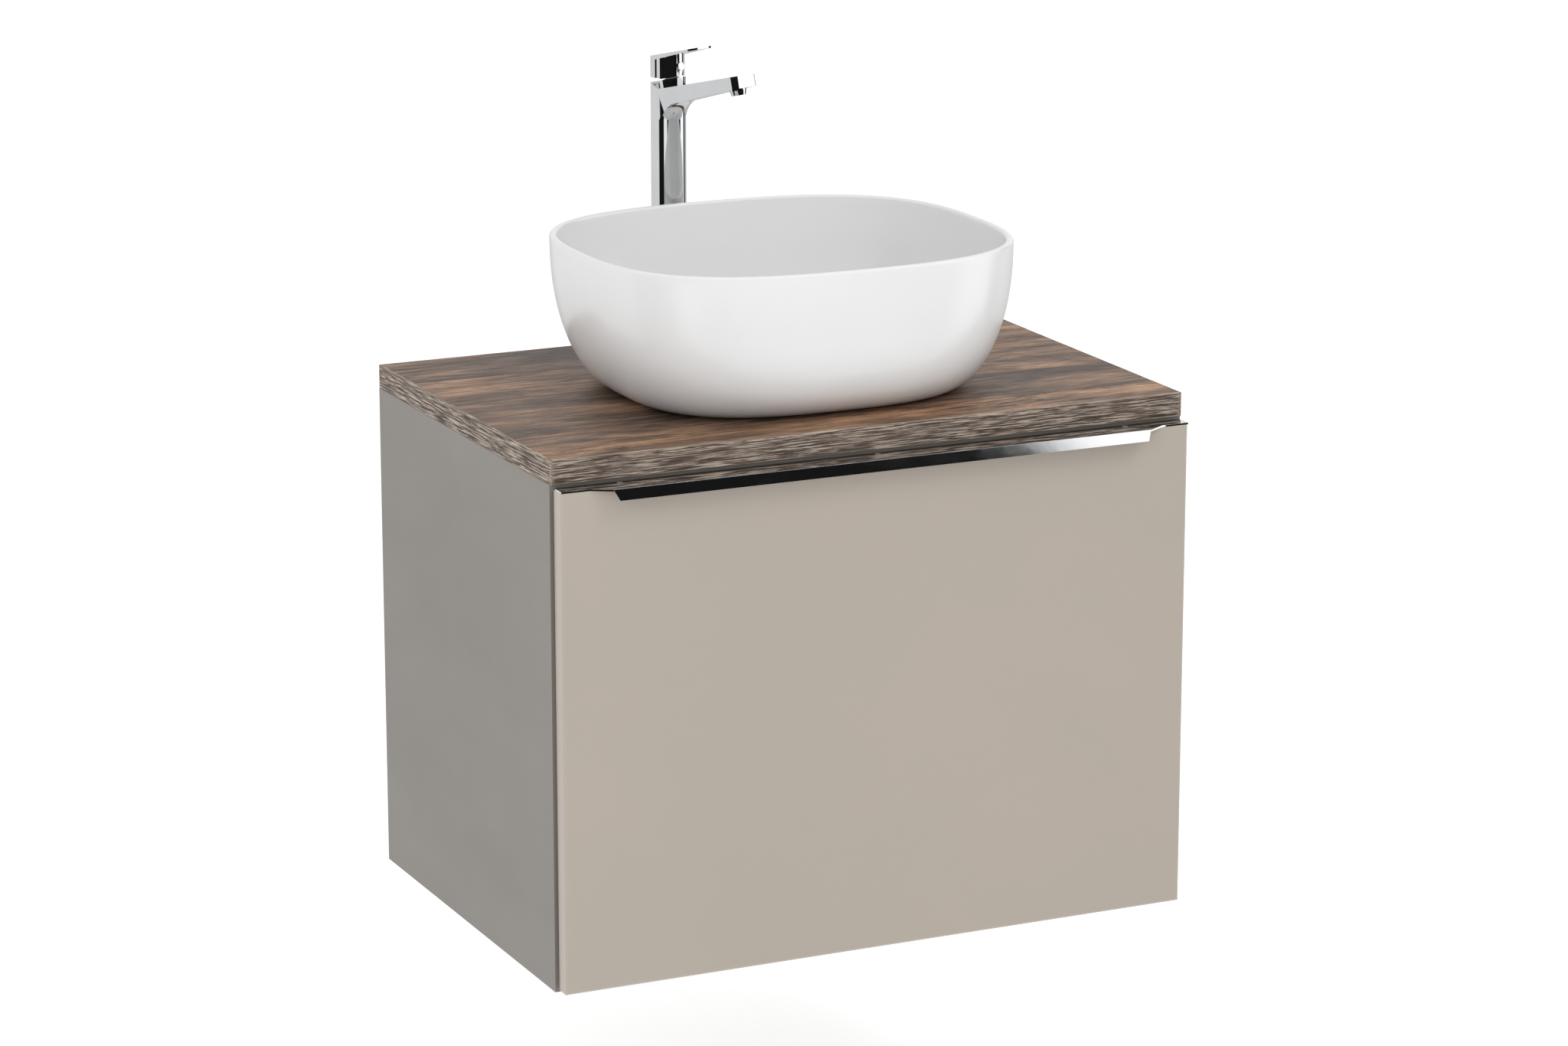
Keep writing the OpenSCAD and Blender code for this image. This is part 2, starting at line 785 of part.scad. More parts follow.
// Flanged tube with a bridge that guides the plug's stem
module waste_body() {
    color(chrome) translate([bx, by, 0]) {
        difference() {
            union() {
                rod_z(waste_flange_r, flange_z, flange_z + flange_t, 0, 0);
                rod_z(waste_r, waste_bottom, flange_z + eps, 0, 0);
            }
            rod_z(waste_in_r, waste_bottom - 1, flange_z + flange_t + 1, 0, 0);
            rod_z(plug_r + 0.6, flange_z + 1, flange_z + flange_t + 1, 0, 0);
        }
        difference() {
            union() {
                rod_z(guide_r + 3, guide_z, guide_z + 12, 0, 0);
                span([-waste_in_r - 1, -2, guide_z], [waste_in_r + 1, 2, guide_z + 6]);
            }
            rod_z(guide_r, guide_z - 1, guide_z + 13, 0, 0);
        }
    }
}

module waste_gasket() {
    color(rubber) translate([bx, by, 0]) ring(drain_hole_r, waste_flange_r, floor_z, flange_z);
}

module waste_washer() {
    color(rubber) translate([bx, by, 0]) ring(waste_r, 40, cab_h - washer_t, cab_h);
}

module waste_nut() {
    color(steel) translate([bx, by, 0])
        hex_nut(56, waste_r, cab_h - washer_t - nut_h, cab_h - washer_t);
}

// Domed cap on a stem; pressing it lets it up or down
module waste_plug() {
    z0 = flange_z + 1.3;
    dome_r = 80;
    color(chrome) translate([bx, by, 0]) {
        intersection() {
            rod_z(plug_r, z0, z0 + plug_h, 0, 0);
            translate([0, 0, z0 + plug_h - dome_r]) sphere(r = dome_r, $fn = 128);
        }
        rod_z(guide_r - 0.05, guide_z - 8, z0 + eps, 0, 0);
    }
}

module trap_inlet_nut() {
    color(plastic_white) translate([bx, by, 0]) difference() {
        rod_z(28, inlet_nut_z0, inlet_nut_z1, 0, 0);
        rod_z(waste_r, waste_bottom, inlet_nut_z1 + 1, 0, 0);
        rod_z(pipe_r, inlet_nut_z0 - 1, waste_bottom + 1, 0, 0);
        for (t = [0 : 30 : 330]) rotate([0, 0, t]) rod_z(2, inlet_nut_z0 - 1, inlet_nut_z1 + 1, 29, 0);
    }
}

module trap_inlet_tube() {
    color(plastic_white) translate([bx, by, 0]) ring(pipe_in_r, pipe_r, tube_z0, waste_bottom);
}

// Upper half of the bottle trap, with its side outlet towards the wall
module trap_body() {
    color(plastic_white) translate([bx, by, 0]) difference() {
        union() {
            rod_z(cup_r, body_z0, body_z1, 0, 0);
            rod_z(pipe_r + 5, body_z1 - eps, body_z1 + 16, 0, 0);
            rod_y(pipe_r + 5, 0, cup_r + 14, 0, outlet_z);
        }
        rod_z(pipe_r, body_z1 - 10, body_z1 + 17, 0, 0);
        rod_z(cup_r - 3, body_z0 - 1, body_z1 - 4, 0, 0);
        rod_y(pipe_in_r, 0, cup_r + 15, 0, outlet_z);
    }
}

module trap_cup() {
    color(plastic_white) translate([bx, by, 0]) difference() {
        union() {
            rod_z(cup_r - 3, cup_z0, body_z0 + 8, 0, 0);
            rod_z(cup_r + 3, body_z0 - 14, body_z0, 0, 0);
            rod_z(14, cup_z0 - 6, cup_z0 + eps, 0, 0);
        }
        rod_z(cup_r - 6, cup_z0 + 4, body_z0 + 9, 0, 0);
    }
}

module trap_outlet_nut() {
    color(plastic_white) difference() {
        rod_y(outlet_nut_r, outlet_in_y, outlet_in_y + 18, bx, outlet_z);
        rod_y(pipe_r + pipe_lip, outlet_in_y - 1, outlet_in_y + 19, bx, outlet_z);
    }
}

// Outlet pipe: its free length reaches the wall's drain socket
module trap_outlet_pipe() {
    color(plastic_white) difference() {
        union() {
            rod_y(pipe_r, -pipe_free, 0, bx, outlet_z);
            rod_y(pipe_r + pipe_lip, outlet_in_y, -pipe_free, bx, outlet_z);
        }
        rod_y(pipe_in_r, outlet_in_y - 1, 1, bx, outlet_z);
    }
}

// ---- tap ----

// Places children, drawn in the tap's own u, v, z frame, on the worktop
module at_tap() {
    translate([-tap_left, -tap_back, tap_z]) rotate([0, 0, tap_turn - 90]) children();
}

// Places children on the lever's tilted seat: local Z is square to it
module on_tilt() {
    translate([0, 0, tap_h]) rotate([0, -tap_tilt, 0]) children();
}

// Places children on the spout's top, which is lower than the seat and parallel to it
module on_spout() {
    on_tilt() translate([-collar_h * tan(tap_tilt), 0, -collar_h]) children();
}

// Column section: flat back and sides, round front
module tap_section() {
    translate([tap_rear, -tap_r]) square([tap_flat, tap_w]);
    intersection() {
        translate([tap_round_u, 0]) circle(r = tap_r);
        translate([tap_rear, -tap_r]) square([big, tap_w]);
    }
}

// Everything on one side of a plane square to the tilted axis
module above_tilt(n) {
    on_tilt() translate([-big / 2, -big / 2, n]) cube([big, big, big]);
}

// Spout: drawn along the tilted axis, thinner towards its tip
spout_tip_r = 70;
corner_r = 4;
spout_root = tap_rear + 4;
spout_len = spout_reach / tilt_c;
column_front = tap_round_u + tap_r;
spout_z = tap_h - collar_h / tilt_c;

module spout() {
    on_spout() intersection() {
        rotate([90, 0, 0]) translate([0, 0, -tap_r]) linear_extrude(tap_w) polygon([
            [spout_root, 0], [spout_len, 0], [spout_len, -spout_tip_t],
            [column_front, -spout_t], [spout_root, -spout_t]]);
        translate([0, 0, -spout_t - 1]) linear_extrude(spout_t + 2)
            bowed_plan(spout_root, spout_len, corner_r);
    }
    spout_flare();
}

// Plan of the spout and of the lever's plate: full width, with a bowed end and rounded corners
module bowed_plan(root, reach, r) {
    intersection() {
        union() {
            translate([root, -tap_r]) square([reach - root - r, tap_w]);
            translate([root, -tap_r + r]) square([reach - root, tap_w - 2 * r]);
            for (side = [-1, 1]) translate([reach - r, side * (tap_r - r)]) circle(r = r);
        }
        translate([reach - spout_tip_r, 0]) circle(r = spout_tip_r, $fn = 128);
    }
}

// Concave flare that carries the column's round front out to the spout's underside
module spout_flare() {
    r = spout_fillet;
    rise = tap_tilt + atan((spout_t - spout_tip_t) / (spout_len - column_front));
    under_u = column_front * tilt_c + spout_t * sin(tap_tilt);
    under_z = spout_z + column_front * sin(tap_tilt) - spout_t * tilt_c;
    corner_z = under_z - (under_u - column_front) * tan(rise);
    foot_z = corner_z - r * tan((90 - rise) / 2) + 0.3;
    intersection() {
        translate([tap_round_u, 0, foot_z]) rotate_extrude() difference() {
            square([tap_r + r * (1 - sin(rise)), r * cos(rise)]);
            translate([tap_r + r - 0.02, 0]) circle(r = r, $fn = 96);
        }
        span([tap_round_u, -tap_r, 0], [spout_reach, tap_r, tap_h + spout_t]);
    }
}

// The seat: a round collar, and a wedge that carries it back to the column's rear face
module lever_seat() {
    slope = tan(tap_tilt);
    rear_z = spout_z + tap_rear * slope;
    foot_z = spout_z + chamfer_u * slope;
    intersection() {
        linear_extrude(tap_h + 20) tap_section();
        on_tilt() rod_z(collar_r, -collar_h - 1, 0, 0, 0);
    }
    rotate([90, 0, 0]) translate([0, 0, -tap_r]) linear_extrude(tap_w) polygon([
        [tap_rear, rear_z + collar_h / tilt_c], [chamfer_u, foot_z], [chamfer_u, foot_z - 1],
        [tap_rear, rear_z - 1]]);
}

module tap_body() {
    color(chrome) at_tap() difference() {
        union() {
            cylinder(r = foot_r, h = foot_h);
            difference() {
                linear_extrude(tap_h + 20) tap_section();
                above_tilt(-collar_h);
            }
            lever_seat();
            spout();
        }
        on_tilt() translate([0, 0, -seat_deep]) cylinder(r = seat_r, h = seat_deep + 1);
        on_spout() {
            rod_z(aerator_r, -spout_t - 1, aerator_top, aerator_u, 0);
            rod_z(duct_r + 1, aerator_top - 1, duct_z, aerator_u, 0);
            rod_x(duct_r, seat_r - 1, aerator_u, 0, duct_z);
        }
        for (v = [-inlet_v, inlet_v]) {
            translate([inlet_u, v, -1]) cylinder(r = inlet_r, h = inlet_deep + 1);
            translate([inlet_u, v, 0]) cylinder(r = 2.5, h = tap_h - seat_deep - 1);
        }
        translate([stud_u, 0, -1]) cylinder(r = stud_r, h = stud_deep + 1);
    }
}

module tap_seal() {
    color(rubber) at_tap() ring(tap_hole_r, foot_r - 1, -tap_seal_t, 0);
}

stud_z0 = cab_h - tap_z - 34;
shoe_z1 = cab_h - tap_z;
shoe_u = 5;
shoe_r = 12;

module tap_stud() {
    color(steel) at_tap() rod_z(stud_r, stud_z0, stud_deep, stud_u, 0);
}

// Horseshoe: its open middle lets the supply connectors through
module horseshoe(z0, z1) {
    difference() {
        rod_z(foot_r, z0, z1, 0, 0);
        rod_z(shoe_r, z0 - 1, z1 + 1, shoe_u, 0);
        span([shoe_u, -shoe_r, z0 - 1], [foot_r + 1, shoe_r, z1 + 1]);
        rod_z(stud_r, z0 - 1, z1 + 1, stud_u, 0);
    }
}

module horseshoe_gasket() {
    color(rubber) at_tap() horseshoe(shoe_z1 - 3, shoe_z1);
}

module horseshoe_plate() {
    color(steel) at_tap() horseshoe(shoe_z1 - 6, shoe_z1 - 3);
}

module tap_stud_nut() {
    color(steel) at_tap() translate([stud_u, 0, 0]) hex_nut(13, stud_r, shoe_z1 - 14, shoe_z1 - 6);
}

// Cartridge: a body in the seat and a neck that holds the turning carrier
module cartridge() {
    color(plastic_white) at_tap() on_tilt() difference() {
        union() {
            rod_z(seat_r, -seat_deep, -6, 0, 0);
            rod_z(neck_r, -6 - eps, 1, 0, 0);
        }
        rod_z(carrier_r, -4, 2, 0, 0);
    }
}

module cartridge_nut() {
    color("goldenrod") at_tap() on_tilt() ring(neck_r, seat_r, -6, 0);
}

carrier_play = 0.05;

// Carrier: turns in the neck; its slot lets the stem rock on the pin
module cartridge_carrier() {
    color([0.85, 0.45, 0.15]) at_tap() on_tilt() difference() {
        rod_z(carrier_r - carrier_play, -4 + carrier_play, 3, 0, 0);
        span([-carrier_r - 1, -stem_w / 2 - 0.1, -slot_deep], [4.6, stem_w / 2 + 0.1, 4]);
        translate([0, -carrier_r, 0]) rotate([-90, 0, 0]) cylinder(r = 1.2, h = 2 * carrier_r);
    }
}

module pivot_pin() {
    color(steel) at_tap() on_tilt() translate([0, -5, 0]) rotate([-90, 0, 0]) cylinder(r = 1.2, h = 10);
}

module cartridge_stem() {
    color(steel) at_tap() on_tilt() difference() {
        span([-3, -stem_w / 2, -stem_foot], [3, stem_w / 2, stem_top]);
        translate([0, -carrier_r, 0]) rotate([-90, 0, 0]) cylinder(r = 1.25, h = 2 * carrier_r);
        translate([2, 0, screw_z]) rotate([0, 90, 0]) cylinder(r = screw_r, h = 4);
    }
}

// Plate over the whole lever: it gets thinner towards its free end
module lever_plate(top) {
    end_u = (lever_reach + top * sin(tap_tilt)) / tilt_c;
    intersection() {
        linear_extrude(tap_h + 3 * hub_h) bowed_plan(tap_rear, lever_reach, 2);
        on_tilt() rotate([90, 0, 0]) translate([0, 0, -tap_w]) linear_extrude(2 * tap_w) polygon([
            [2 * tap_rear, top], [end_u, top], [end_u, top - plate_end_t],
            [tap_rear, top - plate_thick], [2 * tap_rear, top - plate_thick]]);
    }
}

// Lever: a slab at the rear and a drum, under the plate, that covers the cartridge
module drum_plan() {
    r = tap_r - drum_in;
    translate([tap_rear, -tap_r]) square([slab_u - tap_rear, tap_w]);
    translate([slab_u - eps, -r]) square([tap_round_u - slab_u + eps, 2 * r]);
    translate([tap_round_u, 0]) circle(r = r);
}

module lever_blank() {
    top = hub_h * tilt_c;
    difference() {
        linear_extrude(tap_h + 2 * hub_h) intersection() {
            drum_plan();
            translate([tap_rear, -tap_r]) square([tap_w, tap_w]);
        }
        above_tilt(top - 1);
        on_tilt() translate([-big / 2, -big / 2, hub_gap - big]) cube([big, big, big]);
    }
    lever_plate(top);
}

module lever() {
    color(chrome) at_tap() difference() {
        lever_blank();
        // the rear of the hub is cut back so that it clears the column when lifted
        on_tilt() rotate([0, lever_lift, 0]) translate([-big, -big / 2, hub_gap - big])
            cube([big, big, big]);
        on_tilt() translate([0, 0, -1]) cylinder(r = hub_cave_r, h = hub_cave_h + 1);
        on_tilt() span([-3, -stem_w / 2, 0], [3, stem_w / 2, stem_top]);
        on_tilt() translate([3 - eps, 0, screw_z]) rotate([0, 90, 0]) cylinder(r = screw_r, h = 30);
        on_tilt() translate([cap_u, 0, screw_z]) rotate([0, 90, 0]) cylinder(r = cap_r, h = 20);
    }
}

module lever_set_screw() {
    color(steel) at_tap() on_tilt() difference() {
        translate([2, 0, screw_z]) rotate([0, 90, 0]) cylinder(r = screw_r, h = 9);
        translate([8.5, 0, screw_z]) rotate([0, 90, 0]) cylinder(r = 1.4, h = 4, $fn = 6);
    }
}

module index_cap() {
    color(chrome) at_tap() on_tilt() translate([cap_u, 0, screw_z]) rotate([0, 90, 0])
        cylinder(r = cap_r, h = cap_t);
}

module aerator_housing() {
    color(chrome) at_tap() on_spout() translate([aerator_u, 0, 0]) difference() {
        union() {
            rod_z(aerator_r, aerator_top - 7, aerator_top, 0, 0);
            translate([0, 0, aerator_top - 12]) cylinder(r1 = aerator_r - 1.3, r2 = aerator_r, h = 5 + eps);
        }
        rod_z(7, aerator_top - 13, aerator_top + 1, 0, 0);
    }
}

insert_z = aerator_top - 10;

module aerator_insert() {
    color(plastic_white) at_tap() on_spout() translate([aerator_u, 0, 0]) difference() {
        rod_z(7, insert_z, insert_z + 4, 0, 0);
        for (t = [0 : 60 : 300]) rotate([0, 0, t]) rod_z(0.9, insert_z - 1, insert_z + 5, 4.6, 0);
        for (t = [0 : 120 : 240]) rotate([0, 0, t]) rod_z(0.9, insert_z - 1, insert_z + 5, 2, 0);
    }
}

side_panel_left();
side_panel_right();
bottom_panel();
front_rail();
hanging_rail();
lower_back_rail();
cam_locks();
cam_bolts();
worktop();
edge_band_front();
edge_band_left();
edge_band_right();
top_brackets();
cabinet_screws();
hangers();
hanger_adjusters();
wall_plates();
runner_cabinet_members();
bumper_pads();
basin();
basin_seal();
waste_body();
waste_gasket();
waste_washer();
waste_nut();
waste_plug();
trap_inlet_nut();
trap_inlet_tube();
trap_body();
trap_cup();
trap_outlet_nut();
trap_outlet_pipe();
tap_body();
tap_seal();
tap_stud();
horseshoe_gasket();
horseshoe_plate();
tap_stud_nut();
cartridge();
cartridge_nut();
cartridge_carrier();
pivot_pin();
cartridge_stem();
lever();
lever_set_screw();
index_cap();
aerator_housing();
aerator_insert();
drawer_front();
handle_profile();
drawer_side_left();
drawer_side_right();
drawer_back_boards();
drawer_bottom();
siphon_guard();
runner_drawer_members();
runner_middle_members();
front_brackets();
drawer_screws();
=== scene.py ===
"""Looks for the wall-hung vanity with its vessel basin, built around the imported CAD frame."""

import json
import math

import bmesh
import bpy
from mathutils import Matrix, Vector, noise


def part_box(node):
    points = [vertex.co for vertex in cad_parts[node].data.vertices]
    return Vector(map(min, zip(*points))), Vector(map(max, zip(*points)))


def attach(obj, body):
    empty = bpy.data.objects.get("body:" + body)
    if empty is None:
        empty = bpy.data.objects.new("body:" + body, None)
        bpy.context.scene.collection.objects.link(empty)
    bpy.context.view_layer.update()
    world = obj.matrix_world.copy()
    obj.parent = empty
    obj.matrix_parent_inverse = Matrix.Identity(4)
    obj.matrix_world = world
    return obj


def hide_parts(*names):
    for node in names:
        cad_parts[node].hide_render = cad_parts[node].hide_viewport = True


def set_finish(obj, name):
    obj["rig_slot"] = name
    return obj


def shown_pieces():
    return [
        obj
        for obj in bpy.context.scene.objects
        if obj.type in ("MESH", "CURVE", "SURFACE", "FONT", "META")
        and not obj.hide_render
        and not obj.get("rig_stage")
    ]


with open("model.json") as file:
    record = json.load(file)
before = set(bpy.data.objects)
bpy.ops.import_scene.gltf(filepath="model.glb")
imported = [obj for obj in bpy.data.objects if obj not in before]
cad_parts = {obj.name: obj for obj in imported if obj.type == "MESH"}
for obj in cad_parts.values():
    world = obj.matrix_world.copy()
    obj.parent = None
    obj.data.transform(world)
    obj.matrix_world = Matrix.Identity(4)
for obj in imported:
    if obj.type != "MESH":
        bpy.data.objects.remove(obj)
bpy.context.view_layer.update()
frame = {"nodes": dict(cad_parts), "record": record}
NODES = frame["nodes"]
RECORD = frame["record"]
BODY_OF = {n: body for body, names in RECORD["behaviour"]["bodies"].items() for n in names}
SLOT_OF = {part["node"]: part["material_slot"] for part in RECORD["subparts"]}
MM = 0.001

TOP_LO, TOP_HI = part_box("worktop")
BAND_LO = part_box("edge_band_front")[0]
TOP_Z = TOP_HI.z
LEFT_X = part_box("edge_band_left")[0].x
FRONT_Y = BAND_LO.y
FLOOR_Z = -0.305


# ---- small tools ----

class Graph:
    """One material's nodes, added and joined in short calls."""

    def __init__(self, name, **constants):
        self.material = bpy.data.materials.new(name)
        self.material.use_nodes = True
        self.tree = self.material.node_tree
        self.shader = self.tree.nodes["Principled BSDF"]
        for socket, value in constants.items():
            self.shader.inputs[socket.replace("_", " ")].default_value = value
        self.place = self.tree.nodes.new("ShaderNodeTexCoord").outputs["Object"]

    def feed(self, socket, value):
        """Sets a socket to a constant, or joins it to another node's output."""
        if isinstance(value, bpy.types.NodeSocket):
            self.tree.links.new(value, socket)
        else:
            socket.default_value = value

    def scaled(self, x, y, z, source=None):
        """The point's place, in metres, times a scale along each axis."""
        node = self.tree.nodes.new("ShaderNodeMapping")
        self.feed(node.inputs["Vector"], source or self.place)
        node.inputs["Scale"].default_value = (x, y, z)
        return node.outputs["Vector"]

    def axis(self, name, source=None):
        node = self.tree.nodes.new("ShaderNodeSeparateXYZ")
        self.feed(node.inputs[0], source or self.place)
        return node.outputs[name]

    def joined(self, x, y, z):
        node = self.tree.nodes.new("ShaderNodeCombineXYZ")
        for socket, value in zip(node.inputs, (x, y, z)):
            self.feed(socket, value)
        return node.outputs[0]

    def noise(self, vector, scale=1.0, detail=2.0, rough=0.5, twist=0.0):
        node = self.tree.nodes.new("ShaderNodeTexNoise")
        self.feed(node.inputs["Vector"], vector)
        node.inputs["Scale"].default_value = scale
        node.inputs["Detail"].default_value = detail
        node.inputs["Roughness"].default_value = rough
        node.inputs["Distortion"].default_value = twist
        return node.outputs["Fac"]

    def cells(self, vector, scale=1.0, output="Distance"):
        node = self.tree.nodes.new("ShaderNodeTexVoronoi")
        self.feed(node.inputs["Vector"], vector)
        node.inputs["Scale"].default_value = scale
        return node.outputs[output]

    def chance(self, value):
        """A random number for each whole value."""
        node = self.tree.nodes.new("ShaderNodeTexWhiteNoise")
        node.noise_dimensions = "1D"
        self.feed(node.inputs["W"], value)
        return node.outputs["Value"]

    def attribute(self, name):
        node = self.tree.nodes.new("ShaderNodeAttribute")
        node.attribute_name = name
        return node.outputs["Fac"]

    def math(self, operation, a, b=0.0, clamp=False):
        node = self.tree.nodes.new("ShaderNodeMath")
        node.operation = operation
        node.use_clamp = clamp
        self.feed(node.inputs[0], a)
        self.feed(node.inputs[1], b)
        return node.outputs[0]

    def spread(self, value, lo, hi, to_lo=0.0, to_hi=1.0):
        """Maps lo..hi to to_lo..to_hi and holds the ends."""
        node = self.tree.nodes.new("ShaderNodeMapRange")
        self.feed(node.inputs["Value"], value)
        node.inputs["From Min"].default_value = lo
        node.inputs["From Max"].default_value = hi
        node.inputs["To Min"].default_value = to_lo
        node.inputs["To Max"].default_value = to_hi
        return node.outputs["Result"]

    def ramp(self, value, *stops, steps=False):
        node = self.tree.nodes.new("ShaderNodeValToRGB")
        band = node.color_ramp
        if steps:
            band.interpolation = "CONSTANT"
        while len(band.elements) < len(stops):
            band.elements.new(1.0)
        for element, (at, color) in zip(band.elements, stops):
            element.position = at
            element.color = tuple(color) + (1.0,)
        self.feed(node.inputs["Fac"], value)
        return node.outputs["Color"]

    def mix(self, factor, a, b, mode="MIX"):
        node = self.tree.nodes.new("ShaderNodeMix")
        node.data_type = "RGBA"
        node.blend_type = mode
        self.feed(node.inputs[0], factor)
        for socket, value in ((node.inputs[6], a), (node.inputs[7], b)):
            self.feed(socket, value if isinstance(value, bpy.types.NodeSocket) else tuple(value) + (1.0,))
        return node.outputs[2]

    def bump(self, height, depth, below=None):
        """A normal raised by height times depth, in metres."""
        node = self.tree.nodes.new("ShaderNodeBump")
        node.inputs["Strength"].default_value = 1.0
        node.inputs["Distance"].default_value = depth
        self.feed(node.inputs["Height"], height)
        if below is not None:
            self.feed(node.inputs["Normal"], below)
        return node.outputs["Normal"]

    def finish(self, color=None, roughness=None, normal=None):
        for name, value in (("Base Color", color), ("Roughness", roughness), ("Normal", normal)):
            if value is not None:
                self.feed(self.shader.inputs[name], value)
        return self.material


def mesh_object(name, points, faces):
    """A smooth-shaded mesh object, linked to the scene."""
    mesh = bpy.data.meshes.new(name)
    mesh.from_pydata(points, [], faces)
    mesh.validate()
    for polygon in mesh.polygons:
        polygon.use_smooth = True
    piece = bpy.data.objects.new(name, mesh)
    bpy.context.scene.collection.objects.link(piece)
    return piece


def stand_for(piece, *nodes):
    """The piece replaces these CAD nodes: same body, same slot."""
    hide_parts(*nodes)
    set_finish(piece, SLOT_OF[nodes[0]])
    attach(piece, BODY_OF[nodes[0]])
    return piece


def welded(node):
    """A CAD node's mesh with its doubled points joined and its flat triangles merged."""
    source = NODES[node].data
    bm = bmesh.new()
    for vertex in source.vertices:
        bm.verts.new(vertex.co)
    bm.verts.ensure_lookup_table()
    for polygon in source.polygons:
        bm.faces.new([bm.verts[i] for i in polygon.vertices])
    bmesh.ops.remove_doubles(bm, verts=bm.verts, dist=2e-6)
    bmesh.ops.dissolve_limit(bm, angle_limit=math.radians(0.5), verts=bm.verts, edges=bm.edges)
    return bm


def rounded(node, width, segments=2):
    """A copy of a CAD node with small rounded edges, which stands for it."""
    bm = welded(node)
    mesh = bpy.data.meshes.new(node + "_finished")
    bm.to_mesh(mesh)
    bm.free()
    for polygon in mesh.polygons:
        polygon.use_smooth = True
    piece = bpy.data.objects.new(node + "_finished", mesh)
    bpy.context.scene.collection.objects.link(piece)
    bevel = piece.modifiers.new("rounded_edges", "BEVEL")
    bevel.width = width
    bevel.segments = segments
    bevel.limit_method = "ANGLE"
    bevel.angle_limit = math.radians(32)
    bevel.harden_normals = True
    bevel.miter_outer = "MITER_ARC"
    return stand_for(piece, node)


# ---- materials ----

def board_material(name, tone, gloss):
    """Melamine or lacquer on a board: even colour, a faint orange peel, satin gloss."""
    g = Graph(name, IOR=1.5)
    cloud = g.noise(g.place, 7.0, 3.0)
    grain = g.noise(g.place, 900.0, 2.0)
    color = g.mix(g.spread(cloud, 0.3, 0.7), [c * 0.97 for c in tone], [min(1.0, c * 1.03) for c in tone])
    color = g.mix(g.spread(grain, 0.3, 0.7, 0.0, 0.06), color, [c * 0.8 for c in tone])
    smear = g.noise(g.scaled(3.0, 3.0, 9.0), 1.0, 4.0, 0.6)
    rough = g.spread(smear, 0.3, 0.7, gloss - 0.04, gloss + 0.05)
    peel = g.bump(g.noise(g.place, 420.0, 3.0, 0.55), 0.02 * MM)
    return g.finish(color, rough, peel)


def lacquer_material():
    """The drawer front's satin taupe lacquer, with a soft clear coat."""
    tone = (0.440, 0.390, 0.335)
    g = Graph("satin_lacquer", IOR=1.5, Coat_Weight=0.35, Coat_Roughness=0.16)
    cloud = g.noise(g.scaled(2.2, 2.2, 3.4), 1.0, 4.0, 0.55)
    color = g.ramp(cloud, (0.3, (0.430, 0.386, 0.330)), (0.5, tone), (0.7, (0.452, 0.394, 0.343)))
    rough = g.spread(g.noise(g.place, 5.0, 5.0, 0.6), 0.3, 0.7, 0.30, 0.38)
    peel = g.bump(g.noise(g.place, 260.0, 2.0, 0.5), 0.012 * MM)
    return g.finish(color, rough, peel)


